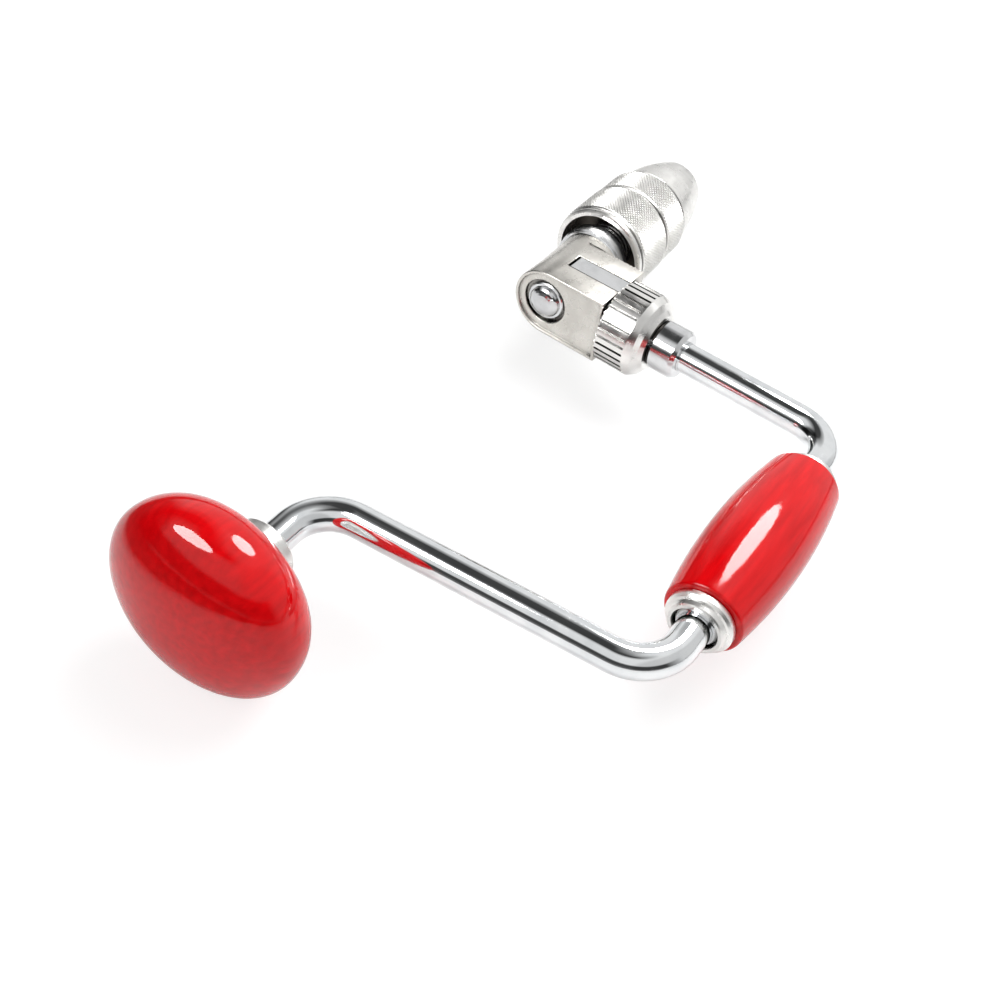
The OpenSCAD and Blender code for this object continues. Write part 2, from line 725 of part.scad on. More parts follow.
module detent_spring() {
    color("gray") on_arm() rotate([0, -detent_a, 0])
        translate([detent_r, -body_reach + detent_d - detent_out + 0.1, 0])
            rotate([-90, 0, 0]) coil_spring(detent_d - 0.2, 0.4, detent_spring_len, 5);
}

module split_ring() {
    color("silver") on_arm() difference() {
        along_arm(clip_y) cylinder(d = collar_d - 1.6, h = clip_t);
        along_arm(clip_y - 1) cylinder(d = rod_d, h = clip_t + 2);
        rotate([0, -150, 0]) translate([0, -clip_y - clip_t - 1, -1.2])
            cube([collar_d, clip_t + 2, 2.4]);
    }
}

module arm_collar() {
    color("silver") on_arm() difference() {
        along_arm() rotate_extrude() polygon([[rod_d / 2, collar_y],
            [collar_d / 2, collar_y], [collar_d / 2, collar_y + collar_len - 1.6],
            [collar_d / 2 - 1.2, collar_y + collar_len], [rod_d / 2, collar_y + collar_len]]);
    }
}

module thrust_washer() {
    color("silver") difference() {
        rod_x(boss_x, boss_x + thrust_washer_t, thrust_d - 0.8);
        rod_x(boss_x - 1, boss_x + thrust_washer_t + 1, front_journal_d + 2 * gap);
    }
}

module spindle() {
    color("silver") difference() {
        union() {
            rod_x(nut_seat_x - 1.8, rear_wall_x, rear_journal_d);
            rod_x(rear_wall_x + gap, bush_x, front_journal_d - 1);
            rod_x(rear_wall_x - 0.5, rear_wall_x + gap + 0.5, rear_journal_d);
            rod_x(bush_x - 0.3, thrust_x + 1, front_journal_d);
            turned([[thrust_x, 0], [thrust_x, thrust_d / 2 - 0.6], [thrust_x + 0.6, thrust_d / 2],
                [thrust_x + thrust_len - 0.6, thrust_d / 2],
                [thrust_x + thrust_len, thrust_d / 2 - 0.6], [thrust_x + thrust_len, 0]]);
            rod_x(thrust_x + thrust_len - 1, thread_start_x, thread_d - 3);
            rod_x(thread_start_x - 0.1, spindle_end_x, thread_d - 2 * run_c);
        }
        translate([slot_rear_x, -jaw_w / 2 - run_c, -thread_d])
            cube([spindle_end_x - slot_rear_x + 1, jaw_w + 2 * run_c, 2 * thread_d]);
        along_x(slot_rear_x - tang_depth) rotate([0, 0, 45])
            cylinder(d = tang_d, h = tang_depth + 0.1, $fn = 4);
    }
}

module end_nut() {
    color("gainsboro") difference() {
        turned([[nut_seat_x - 0.2, 0], [nut_seat_x - 0.2, end_nut_d / 2],
            [nut_seat_x - nut_rim_t + 0.4, end_nut_d / 2], [nut_seat_x - nut_rim_t, end_nut_d / 2 - 0.4],
            for (i = [0:8]) let (a = 90 * i / 8)
                [nut_seat_x - nut_rim_t - (end_nut_h - nut_rim_t) * sin(a), nut_dome_r * cos(a)]]);
        rod_x(nut_seat_x - 1.8, nut_seat_x + 1, rear_journal_d);
    }
}

// Outer and inner outline of the chuck shell, from the rear rim to the mouth and back
module shell_profile() {
    r = shell_d / 2;
    x0 = shell_x;
    x1 = -nose_len - knurl_front_len;
    x2 = -nose_len;
    polygon([[hollow_d / 2, x0], [r - 1, x0], [r - 0.3, x0 + 0.3], [r, x0 + 1],
        [r, x0 + 1.6], [r - 0.9, x0 + 2], [r - 0.9, x0 + 3], [r - 0.2, x0 + 3.4], [r, x0 + 4],
        [r, x1 - 2.8], [r - 0.3, x1 - 2.2], [r - 1.3, x1 - 2], [r - 1.3, x1 - 0.8],
        [r - 0.6, x1 - 0.4], [r - 0.5, x1], [r - 0.5, x2 - 3], [r - 0.8, x2 - 2.2],
        [r - 1.9, x2 - 2], [r - 1.9, x2 - 1], [r - 1.4, x2 - 0.6], [r - 1.7, x2],
        for (i = [1:6]) let (a = 90 * i / 6, tip_r = nose_d / 2 + 1)
            [tip_r + (r - 1.7 - tip_r) * (1 - i / 6 + 0.16 * sin(2 * a)), x2 + (nose_len - 1) * i / 6],
        [nose_d / 2, 0], [mouth_d / 2, 0], [mouth_d / 2, -4], [land_r + 0.6, ring_land_x + ring_len / 2],
        [cavity_r, ring_land_x + ring_len / 2], [cavity_r, hub_front_x],
        [thread_d / 2, hub_front_x], [thread_d / 2, hub_end_x], [hollow_d / 2, hub_end_x]]);
}

module chuck_shell() {
    color("whitesmoke") rotate([0, 90, 0]) rotate_extrude() shell_profile();
}

module closing_ring() {
    half = ring_len / 2 - 0.1;
    color("dimgray") rotate([0, 90, 0]) rotate_extrude() polygon([
        [land_r + jaw_slope * 1.5, ring_land_x - 1.5], [land_r, ring_land_x],
        [land_r, ring_land_x + 1], [land_r + 1, ring_land_x + half],
        [ring_seat_r, ring_land_x + half], [ring_seat_r, ring_land_x - half],
        [land_r + 1.8, ring_land_x - half]]);
}

// The upper jaw: a tapered back, a round-bottomed groove and a rear end that rocks in the slot
module jaw() {
    rear_r = jaw_gap / 2 + jaw_rear_t;
    land_start = ring_land_x - (jaw_back_r - jaw_land_r) / jaw_slope;
    tip_start = ring_land_x + (jaw_land_r - jaw_tip_r) / jaw_slope;
    difference() {
        intersection() {
            turned([[slot_rear_x - 1, 0], [slot_rear_x - 1, rear_r], [spindle_end_x + 0.5, rear_r],
                [land_start, jaw_back_r], [ring_land_x, jaw_land_r], [tip_start, jaw_tip_r],
                [jaw_out - 0.8, jaw_tip_r], [jaw_out, jaw_tip_r - 0.8], [jaw_out, 0]]);
            union() {
                translate([jaw_pivot_x, -jaw_w / 2, jaw_gap / 2])
                    cube([jaw_out + 1 - jaw_pivot_x, jaw_w, cavity_r]);
                translate([jaw_pivot_x, jaw_w / 2, jaw_pivot_z]) rotate([90, 0, 0])
                    cylinder(d = jaw_rear_t, h = jaw_w);
            }
        }
        rod_x(jaw_spring_x + jaw_spring_d, jaw_out + 1, grip_shank_d);
        translate([jaw_spring_x, 0, -1]) cylinder(d = jaw_spring_d + 0.6, h = jaw_pocket_z + 1, $fn = 32);
    }
}

module jaw_upper() {
    color("dimgray") jaw();
}

module jaw_lower() {
    color("dimgray") mirror([0, 0, 1]) jaw();
}

module jaw_spring() {
    color("gray") translate([jaw_spring_x, 0, -jaw_pocket_z + 0.05])
        coil_spring(jaw_spring_d, 0.6, 2 * jaw_pocket_z - 0.1, 4);
}

head_knob();
head_flange();
head_screws();
head_balls();
head_washer();
head_nut();
bow();
grip_handle();
grip_ferrule_rear();
grip_ferrule_front();
grip_stop_rear();
grip_stop_front();
ratchet_body();
front_bush();
ratchet_wheel();
pawl_top();
pawl_bottom();
pawl_pin_top();
pawl_pin_bottom();
pawl_spring_top();
pawl_spring_bottom();
selector_ring();
detent_ball();
detent_spring();
split_ring();
arm_collar();
thrust_washer();
spindle();
end_nut();
chuck_shell();
closing_ring();
jaw_upper();
jaw_lower();
jaw_spring();
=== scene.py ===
"""Looks of the bit brace: lacquered wood, chromed rod, cast and turned nickel-plated steel."""

import math

import bpy
from mathutils import Matrix, Vector


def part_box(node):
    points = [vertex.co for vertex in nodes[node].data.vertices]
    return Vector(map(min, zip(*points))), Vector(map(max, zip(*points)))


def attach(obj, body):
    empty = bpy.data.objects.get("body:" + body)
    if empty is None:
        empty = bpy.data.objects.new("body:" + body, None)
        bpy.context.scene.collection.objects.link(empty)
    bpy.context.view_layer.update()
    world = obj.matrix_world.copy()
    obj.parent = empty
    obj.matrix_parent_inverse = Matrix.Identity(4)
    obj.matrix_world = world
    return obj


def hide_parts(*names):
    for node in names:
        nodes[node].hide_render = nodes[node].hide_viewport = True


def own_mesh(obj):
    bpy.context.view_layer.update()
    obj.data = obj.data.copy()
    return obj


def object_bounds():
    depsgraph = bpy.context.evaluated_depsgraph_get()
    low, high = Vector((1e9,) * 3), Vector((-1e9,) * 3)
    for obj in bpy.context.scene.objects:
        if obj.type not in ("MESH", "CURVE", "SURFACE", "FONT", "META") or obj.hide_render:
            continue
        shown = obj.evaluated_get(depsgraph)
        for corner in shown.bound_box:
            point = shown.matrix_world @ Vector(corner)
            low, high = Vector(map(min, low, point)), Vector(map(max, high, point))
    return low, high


MM = 0.001

# Stations of the part, in millimetres, in the frame that the solids use
ROD_R = 6.0
JOURNAL_R = 4.5
THREAD_END_R = 4.0
SWEEP = 125.0
ARM_REAR_X = -247.0
ARM_FRONT_X = -97.0
LEAN_REAR = 7.5
LEAN_FRONT = 8.0
BEND_R = 17.0
ARM_END_Y = 18.2
JOURNAL_X = -272.0
SHELL_X = -67.5
SHELL_R = 20.0
HOLLOW_R = 17.5
THREAD_START = -64.5
THREAD_END = -35.5
THREAD_PITCH = 2.0
BOX_HALF = 14.2
BOX_REAR = 12.4
BOX_FRONT = 16.0
BOX_REACH = 27.2
HEAD_R = 36.0
HEAD_RIM_X = -300.8
HEAD_DOME = 19.0
HEAD_BACK = 17.0
HEAD_SEAT_R = 19.0
GRIP_X = -172.25
GRIP_HALF = 38.0
GRIP_MID_R = 17.2
GRIP_END_R = 13.8
ARM_TILT = math.atan2(LEAN_FRONT, SWEEP)

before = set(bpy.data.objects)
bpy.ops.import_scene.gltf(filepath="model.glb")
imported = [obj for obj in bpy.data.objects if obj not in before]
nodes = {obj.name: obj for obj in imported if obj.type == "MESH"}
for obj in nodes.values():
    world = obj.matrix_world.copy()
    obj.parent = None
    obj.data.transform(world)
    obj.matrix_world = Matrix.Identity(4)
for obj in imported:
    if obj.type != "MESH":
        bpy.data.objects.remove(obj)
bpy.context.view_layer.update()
bpy.ops.object.select_all(action="DESELECT")


# Modelling helpers


def open_edit(select="VERT"):
    """Opens the active mesh for editing with nothing chosen."""
    bpy.ops.object.mode_set(mode="EDIT")
    bpy.ops.mesh.select_mode(type=select)
    bpy.ops.mesh.select_all(action="DESELECT")


def close_edit():
    bpy.ops.object.mode_set(mode="OBJECT")


def choose(kind, test):
    """Chooses vertices, edges or faces of the active mesh by a test on each."""
    bpy.ops.mesh.select_all(action="DESELECT")
    close_edit()
    mesh = bpy.context.object.data
    for item in getattr(mesh, kind):
        item.select = test(mesh, item)
    bpy.ops.object.mode_set(mode="EDIT")


def settle(obj, smooth=35):
    """Puts the object's place into its mesh, turns its faces outwards and smooths it by angle."""
    close_edit()
    bpy.ops.object.select_all(action="DESELECT")
    obj.select_set(True)
    bpy.context.view_layer.objects.active = obj
    bpy.ops.object.transform_apply(location=True, rotation=True, scale=True)
    bpy.ops.object.mode_set(mode="EDIT")
    bpy.ops.mesh.select_mode(type="VERT")
    bpy.ops.mesh.select_all(action="SELECT")
    bpy.ops.mesh.remove_doubles(threshold=0.000002)
    bpy.ops.mesh.normals_make_consistent(inside=False)
    close_edit()
    if smooth:
        bpy.ops.object.shade_smooth_by_angle(angle=math.radians(smooth))
    else:
        bpy.ops.object.shade_flat()
    obj.select_set(False)


def ring(name, x, radius, sides, y=0.0, cap="NOTHING"):
    """A circle across the X axis, open for editing, with which a turned piece starts."""
    bpy.ops.mesh.primitive_circle_add(
        vertices=sides, radius=radius * MM, fill_type=cap,
        location=(x * MM, y * MM, 0), rotation=(0, math.radians(90), 0))
    obj = bpy.context.object
    obj.name = obj.data.name = name
    bpy.ops.object.transform_apply(location=True, rotation=True, scale=True)
    bpy.ops.object.mode_set(mode="EDIT")
    bpy.ops.mesh.select_mode(type="VERT")
    bpy.ops.mesh.select_all(action="SELECT")
    return obj


def draw_out(step):
    """Extrudes what is chosen by a step in millimetres."""
    bpy.ops.mesh.extrude_region_move(
        TRANSFORM_OT_translate={"value": tuple(part * MM for part in step)})


def swell(ratio, x, y=0.0):
    """Scales what is chosen about a point of the turning axis, square to it."""
    bpy.ops.transform.resize(value=(1, ratio, ratio), center_override=(x * MM, y * MM, 0))


def turn_profile(name, profile, sides, y=0.0):
    """A turned solid from [x, radius] points; its two ends are closed flat."""
    (x, radius), rest = profile[0], profile[1:]
    piece = ring(name, x, radius, sides, y, cap="NGON")
    for to_x, to_radius in rest:
        draw_out((to_x - x, 0, 0))
        swell(to_radius / radius, to_x, y)
        x, radius = to_x, to_radius
    bpy.ops.mesh.edge_face_add()
    return piece


# The wooden head and grip, turned finer than the solids


def turned_head():
    """A mushroom head: elliptic dome, full rim, rounded back, flat seat and the well for the bearing."""
    well_r, well_depth = 8.2, 23.7
    seat_x = HEAD_RIM_X + HEAD_BACK
    dome = [(HEAD_RIM_X - HEAD_DOME * math.sin(a), HEAD_R * math.cos(a))
            for a in (math.radians(90 - step * 2.5) for step in range(1, 37))]
    back = [(seat_x - HEAD_BACK * (1 - math.cos(a)), HEAD_SEAT_R + (HEAD_R - HEAD_SEAT_R) * math.sin(a))
            for a in (math.radians(90 - step * 3.75) for step in range(1, 25))]
    well = [(seat_x, well_r + 0.3), (seat_x - 0.3, well_r), (seat_x - well_depth, well_r)]
    head = turn_profile("head_wood", dome + back + well, 144)
    settle(head)
    return head


def turned_grip():
    """A barrel grip with softened ends, bored for the rod and counterbored for the ferrules."""
    sleeve_r, bore_r, sleeve_len = 9.3, 7.2, 8.0
    last = GRIP_HALF - 1.2

    def barrel(x):
        return GRIP_MID_R - (GRIP_MID_R - GRIP_END_R) * (x / GRIP_HALF) ** 2

    def softened(side):
        return [(side * (last + 1.2 * math.sin(a)), barrel(last) - 1.2 * (1 - math.cos(a)))
                for a in (math.radians(step * 22.5) for step in range(1, 5))]

    outside = [(last * step / 24, barrel(last * step / 24)) for step in range(-24, 25)]
    profile = ([(-GRIP_HALF, sleeve_r)] + softened(-1)[::-1] + outside + softened(1)
               + [(GRIP_HALF, sleeve_r), (GRIP_HALF - sleeve_len, sleeve_r), (GRIP_HALF - sleeve_len, bore_r),
                  (sleeve_len - GRIP_HALF, bore_r), (sleeve_len - GRIP_HALF, sleeve_r), (-GRIP_HALF, sleeve_r)])
    (x, radius), rest = profile[0], profile[1:]
    grip = ring("grip_wood", GRIP_X + x, radius, 112, y=-SWEEP)
    for to_x, to_radius in rest:
        draw_out((to_x - x, 0, 0))
        swell(to_radius / radius, GRIP_X + to_x, y=-SWEEP)
        x, radius = to_x, to_radius
    settle(grip)
    return grip


# The cast box, with the soft edges of a polished casting


def softened_box(width, segments=3, sharp=40):
    """A merged copy of the cast box whose outer hard edges are rounded."""
    copy = bpy.data.objects.new("ratchet_box", nodes["ratchet_body"].data.copy())
    bpy.context.scene.collection.objects.link(copy)
    bpy.context.view_layer.objects.active = copy
    copy.select_set(True)
    bpy.ops.object.mode_set(mode="EDIT")
    bpy.ops.mesh.select_mode(type="VERT")
    bpy.ops.mesh.select_all(action="SELECT")
    bpy.ops.mesh.remove_doubles(threshold=0.000004)
    bpy.ops.mesh.dissolve_limited(angle_limit=math.radians(0.5))
    bpy.ops.mesh.select_all(action="DESELECT")
    bpy.ops.mesh.select_mode(type="EDGE")
    bpy.ops.mesh.edges_select_sharp(sharpness=math.radians(sharp))
    close_edit()
    upright = Matrix.Rotation(ARM_TILT, 3, "Z")
    mesh = copy.data
    for edge in mesh.edges:
        middle = (mesh.vertices[edge.vertices[0]].co + mesh.vertices[edge.vertices[1]].co) / 2 / MM
        x, y, z = upright @ (middle - Vector((ARM_FRONT_X, 0, 0)))
        outside = (abs(z) > BOX_HALF - 0.1 or x < 1.4 - BOX_REAR or x > BOX_FRONT - 0.1 or y < 0.1 - BOX_REACH
                   or (y > 0 and math.hypot(y + 1.4, z) > BOX_HALF - 0.1))
        edge.select = edge.select and outside
    bpy.ops.object.mode_set(mode="EDIT")
    bpy.ops.mesh.bevel(offset=width * MM, segments=segments, affect="EDGES", clamp_overlap=False)
    close_edit()
    bpy.ops.object.shade_smooth_by_angle(angle=math.radians(32))
    copy.select_set(False)
    return copy


# The bent rod


def bend_ends(before, corner, after):
    """Where a bend starts and ends, its centre and its turn, from three flat points."""
    into, out = (corner - before).normalized(), (after - corner).normalized()
    turn = math.atan2(into.x * out.y - into.y * out.x, into.dot(out))
    cut = BEND_R * math.tan(abs(turn) / 2)
    start = corner - into * cut
    side = Vector((-into.y, into.x)) * math.copysign(BEND_R, turn)
    return start, corner + out * cut, start + side, turn


def bow_rod():
    """One rod drawn from the screwed end in the head, round three bends and into the box."""
    nut_end, washer_x = nodes_x("bow")[0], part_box("head_washer")[1].x / MM
    path = [Vector((JOURNAL_X, 0)), Vector((ARM_REAR_X, 0)), Vector((ARM_REAR_X + LEAN_REAR, -SWEEP)),
            Vector((ARM_FRONT_X - LEAN_FRONT, -SWEEP)), Vector((ARM_FRONT_X, 0))]
    rod = ring("bow_rod", nut_end, THREAD_END_R - 0.6, 48, cap="NGON")
    here, radius = nut_end, THREAD_END_R - 0.6
    for x, to in [(nut_end + 0.6, THREAD_END_R), (washer_x, THREAD_END_R), (washer_x, JOURNAL_R),
                  (JOURNAL_X, JOURNAL_R), (JOURNAL_X, ROD_R - 0.5), (JOURNAL_X + 0.5, ROD_R)]:
        draw_out((x - here, 0, 0))
        swell(to / radius, x)
        here, radius = x, to
    at = Vector((here, 0))
    for before, corner, after in zip(path, path[1:], path[2:]):
        start, end, centre, turn = bend_ends(before, corner, after)
        draw_out((start.x - at.x, start.y - at.y, 0))
        bpy.ops.mesh.spin(steps=28, angle=-turn, center=(centre.x * MM, centre.y * MM, 0), axis=(0, 0, 1))
        at = end
    out = (path[-1] - path[-2]).normalized()
    last = path[-1] - out * ARM_END_Y
    draw_out((last.x - at.x, last.y - at.y, 0))
    bpy.ops.mesh.edge_face_add()
    settle(rod)
    return rod


def nodes_x(name):
    """Lowest and highest X of a solid, in millimetres."""
    low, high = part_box(name)
    return low.x / MM, high.x / MM


# The knurled bands of the chuck shell


def knurl_band(name, x_start, x_end, base_r, around, rows):
    """Two crossing rows of grooves left as small flat-topped diamonds round a thin sleeve."""
    step = (x_end - x_start) / rows
    band = ring(name, x_start, base_r, around)
    for _ in range(rows):
        draw_out((step, 0, 0))
    bpy.ops.mesh.select_mode(type="FACE")
    bpy.ops.mesh.select_all(action="SELECT")
    bpy.ops.mesh.poke(offset=0)

    def rim_edge(mesh, edge):
        xs = [mesh.vertices[i].co.x for i in edge.vertices]
        return max(xs) < (x_start + 0.01) * MM or min(xs) > (x_end - 0.01) * MM

    def square_edge(mesh, edge):
        a, b = (mesh.vertices[i].co.x for i in edge.vertices)
        return abs(abs(a - b) - step / 2 * MM) > 1e-6 and not rim_edge(mesh, edge)

    bpy.ops.mesh.select_mode(type="EDGE")
    choose("edges", square_edge)
    bpy.ops.mesh.dissolve_edges(use_verts=False)
    bpy.ops.mesh.select_mode(type="FACE")
    bpy.ops.mesh.select_all(action="SELECT")
    bpy.ops.mesh.normals_make_consistent(inside=False)
    bpy.ops.mesh.inset(thickness=0.34 * MM, depth=0.34 * MM, use_individual=True, use_boundary=True)
    bpy.ops.mesh.select_mode(type="EDGE")
    choose("edges", rim_edge)
    bpy.ops.mesh.extrude_edges_move()
    bpy.ops.transform.resize(value=(1, 1 - 0.5 / base_r, 1 - 0.5 / base_r), center_override=(0, 0, 0))
    bpy.ops.mesh.bridge_edge_loops()
    settle(band, smooth=0)
    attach(band, "shell")
    return band


# The coil springs


def coil(name, solid, body, across, wire, length, turns, axis=(0, 0, 1)):
    """A spring of round wire, wound about the middle of its solid."""
    low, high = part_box(solid)
    bpy.ops.mesh.primitive_circle_add(
        vertices=12, radius=wire / 2 * MM, rotation=(math.radians(90), 0, 0),
        location=((across - wire) / 2 * MM, 0, (wire - length) / 2 * MM))
    spring = bpy.context.object
    spring.name = spring.data.name = name
    bpy.ops.object.transform_apply(location=True, rotation=True, scale=True)
    screw = spring.modifiers.new("turns", "SCREW")
    screw.screw_offset, screw.iterations = (length - wire) / turns * MM, turns
    screw.steps = screw.render_steps = 32
    bpy.ops.object.modifier_apply(modifier="turns")
    bpy.ops.object.mode_set(mode="EDIT")
    bpy.ops.mesh.select_all(action="SELECT")
    bpy.ops.mesh.fill_holes(sides=0)
    spring.location = (low + high) / 2
    spring.rotation_mode = "QUATERNION"
    spring.rotation_quaternion = Vector((0, 0, 1)).rotation_difference(Vector(axis))
    settle(spring)
    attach(spring, body)
    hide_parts(solid)
    return spring


# Finishes


def linear(code):
    """An sRGB hex colour as linear values."""
    parts = [int(code[i:i + 2], 16) / 255 for i in (1, 3, 5)]
    return (*[c / 12.92 if c <= 0.04045 else ((c + 0.055) / 1.055) ** 2.4 for c in parts], 1.0)


def add(tree, kind, inputs=None, **settings):
    """Adds a node with its settings, its values and its links."""
    made = tree.nodes.new("ShaderNode" + kind)
    for name, value in settings.items():
        setattr(made, name, value)
    for name, value in (inputs or {}).items():
        if isinstance(value, bpy.types.NodeSocket):
            tree.links.new(value, made.inputs[name])
        else:
            made.inputs[name].default_value = value
    return made


def finish(name):
    """A new material with its tree, its shader and the object's own coordinates."""
    material = bpy.data.materials.new(name)
    material.use_nodes = True
    tree = material.node_tree
    shader = tree.nodes["Principled BSDF"]
    place = add(tree, "TexCoord").outputs["Object"]
    return material, tree, shader, place


def noise(tree, place, size_mm, detail=3.0, rough=0.5):
    """Noise whose features are about size_mm across."""
    return add(tree, "TexNoise", {"Vector": place, "Scale": 1000 / size_mm, "Detail": detail,
                                  "Roughness": rough}).outputs["Fac"]


def spread(tree, value, low, high, to_low, to_high):
    """A value brought from one range to another."""
    return add(tree, "MapRange", {"Value": value, "From Min": low, "From Max": high,
                                  "To Min": to_low, "To Max": to_high}).outputs["Result"]


def relief(tree, height, depth_mm, below=None):
    """Bump of a real depth."""
    inputs = {"Height": height, "Distance": depth_mm * MM, "Strength": 1.0}
    if below is not None:
        inputs["Normal"] = below
    return add(tree, "Bump", inputs).outputs["Normal"]


def lacquered_wood():
    """Sprayed gloss lacquer on turned beech: deep red, orange peel, a faint show of grain."""
    material, tree, shader, place = finish("red_gloss_lacquer_on_beech")
    along = add(tree, "Mapping", {"Vector": place, "Scale": (0.12, 1, 1)}).outputs["Vector"]
    grain = noise(tree, along, 2.4, detail=4)
    cloud = noise(tree, place, 14, detail=2)
    tone = add(tree, "ValToRGB", {"Fac": grain})
    tone.color_ramp.elements[0].position, tone.color_ramp.elements[0].color = 0.32, linear("#bc0308")
    tone.color_ramp.elements[1].position, tone.color_ramp.elements[1].color = 0.72, linear("#d9070e")
    shade = add(tree, "Mix", {"Factor": spread(tree, cloud, 0.3, 0.7, 0, 0.45), "A": tone.outputs["Color"],
                              "B": linear("#c80309")}, data_type="RGBA")
    tree.links.new(colour_of(shade), shader.inputs["Base Color"])
    peel = relief(tree, noise(tree, place, 3.2, detail=1), 0.034)
    fine = relief(tree, noise(tree, place, 0.8, detail=2), 0.004, below=peel)
    tree.links.new(fine, shader.inputs["Normal"])
    tree.links.new(spread(tree, noise(tree, place, 6), 0.35, 0.7, 0.05, 0.11), shader.inputs["Roughness"])
    shader.inputs["IOR"].default_value = 1.42
    return material


def colour_of(mix):
    """The colour output of a Mix node."""
    return next(o for o in mix.outputs if o.type == "RGBA")


def metal(name, colour, worn, rough, peel, lines=None, axis=(1, 0, 0), grit=None, reach=1.4, seam=(0.25, 0.62),
          dark_r=None, thread=None):
    """A bare or plated metal: its colour drifts a little, its roughness follows smudges.

    peel is a wave's size and depth in millimetres, lines the spacing and depth of turning marks
    round the axis, grit the size and depth of blasted or cast texture. Painted shade darkens the
    colour in seams and corners that are narrower than reach, from the first openness of seam up to
    the second. Within dark_r of the X axis and short of THREAD_END the colour turns darker.
    thread is the start, end and pitch of a screw thread round the X axis.
    """
    material, tree, shader, place = finish(name)
    shader.inputs["Metallic"].default_value = 1.0
    drift = noise(tree, place, 9, detail=3)
    tone = add(tree, "ValToRGB", {"Fac": drift})
    tone.color_ramp.elements[0].position, tone.color_ramp.elements[0].color = 0.3, linear(worn)
    tone.color_ramp.elements[1].position, tone.color_ramp.elements[1].color = 0.6, linear(colour)
    # Painted shade: the colour darkens towards near black where ambient occlusion finds seams, corners and recesses
    openness = add(tree, "AmbientOcclusion", {"Distance": reach * MM}, samples=6).outputs["AO"]
    painted_shade_tone = add(tree, "Mix", {"Factor": spread(tree, openness, *seam, 0, 1), 6: linear("#1d1b19"),
                              7: tone.outputs["Color"]}, data_type="RGBA")
    # Near the X axis and short of the thread's end the colour turns darker, to #4a4641
    if dark_r:
        from_axis = add(tree, "VectorMath", {0: add(tree, "VectorMath", {0: place, 1: (0, 1, 1)},
                                                    operation="MULTIPLY").outputs["Vector"]},
                        operation="LENGTH").outputs["Value"]
        wide = spread(tree, from_axis, (dark_r - 0.1) * MM, (dark_r + 0.15) * MM, 0, 1)
        along = add(tree, "SeparateXYZ", {"Vector": place}).outputs["X"]
        ahead = add(tree, "Math", {0: along, 1: THREAD_END * MM}, operation="GREATER_THAN").outputs["Value"]
        outside_darker_zone = add(tree, "Math", {0: wide, 1: ahead}, operation="MAXIMUM").outputs["Value"]
        painted_shade_tone = add(tree, "Mix", {"Factor": outside_darker_zone, 6: linear("#4a4641"), 7: colour_of(painted_shade_tone)}, data_type="RGBA")
    tree.links.new(colour_of(painted_shade_tone), shader.inputs["Base Color"])
    tree.links.new(spread(tree, noise(tree, place, 4, detail=5), 0.3, 0.7, *rough), shader.inputs["Roughness"])
    normal = relief(tree, noise(tree, place, peel[0], detail=1), peel[1])
    if grit:
        normal = relief(tree, noise(tree, place, grit[0], detail=4, rough=0.65), grit[1], below=normal)
    if lines:
        along = add(tree, "VectorMath", {0: place, 1: tuple(axis)}, operation="DOT_PRODUCT").outputs["Value"]
        marks = add(tree, "TexNoise", {"W": along, "Scale": 1000 / lines[0], "Detail": 3.0},
                    noise_dimensions="1D").outputs["Fac"]
        normal = relief(tree, marks, lines[1], below=normal)
    if thread:
        normal = relief(tree, helix(tree, place, *thread), 1.0, below=normal)
    tree.links.new(normal, shader.inputs["Normal"])
    return material


def helix(tree, place, start, end, pitch):
    """Height of a V thread between two stations, as a wave that climbs once for each turn."""
    parts = add(tree, "SeparateXYZ", {"Vector": place}).outputs
    angle = add(tree, "Math", {0: parts["Z"], 1: parts["Y"]}, operation="ARCTAN2").outputs["Value"]
    turns = add(tree, "Math", {0: angle, 1: 1 / (2 * math.pi), 2: 0.0}, operation="MULTIPLY_ADD").outputs["Value"]
    climb = add(tree, "Math", {0: parts["X"], 1: 1 / (pitch * MM), 2: turns}, operation="MULTIPLY_ADD").outputs["Value"]
    wave = add(tree, "Math", {0: climb, 1: 0.5}, operation="PINGPONG").outputs["Value"]
    after = add(tree, "Math", {0: parts["X"], 1: start * MM}, operation="GREATER_THAN").outputs["Value"]
    before = add(tree, "Math", {0: parts["X"], 1: end * MM}, operation="LESS_THAN").outputs["Value"]
    cut = add(tree, "Math", {0: after, 1: before}, operation="MULTIPLY").outputs["Value"]
    return add(tree, "Math", {0: wave, 1: cut}, operation="MULTIPLY").outputs["Value"]


def paint(material, *names):
    """Gives pieces or solids one finish."""
    for name in names:
        obj = bpy.data.objects[name]
        obj.data.materials.clear()
        obj.data.materials.append(material)


ARM_AXIS = (-math.sin(ARM_TILT), -math.cos(ARM_TILT), 0)

bow = bow_rod()
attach(bow, "frame")
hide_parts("bow")

head = turned_head()
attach(head, "head")
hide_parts("head_knob")

grip = turned_grip()
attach(grip, "grip")
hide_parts("grip_handle")

box = softened_box(0.4)
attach(box, "frame")
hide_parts("ratchet_body")

for band in (knurl_band("knurl_rear", SHELL_X + 4.1, -45.4, SHELL_R + 0.02, 90, 10),
             knurl_band("knurl_front", -42.3, -29.1, SHELL_R - 0.48, 88, 7)):
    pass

top_coil = coil("coil_pawl_top", "pawl_spring_top", "frame", 3.6, 0.5, 3.1, 3)
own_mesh(top_coil)
coil("coil_pawl_bottom", "pawl_spring_bottom", "frame", 3.6, 0.5, 1.9, 2)
coil("coil_detent", "detent_spring", "frame", 2.0, 0.4, 4.0, 5, axis=ARM_AXIS)
coil("coil_jaws", "jaw_spring", "drive", 4.0, 0.6, 6.5, 4)

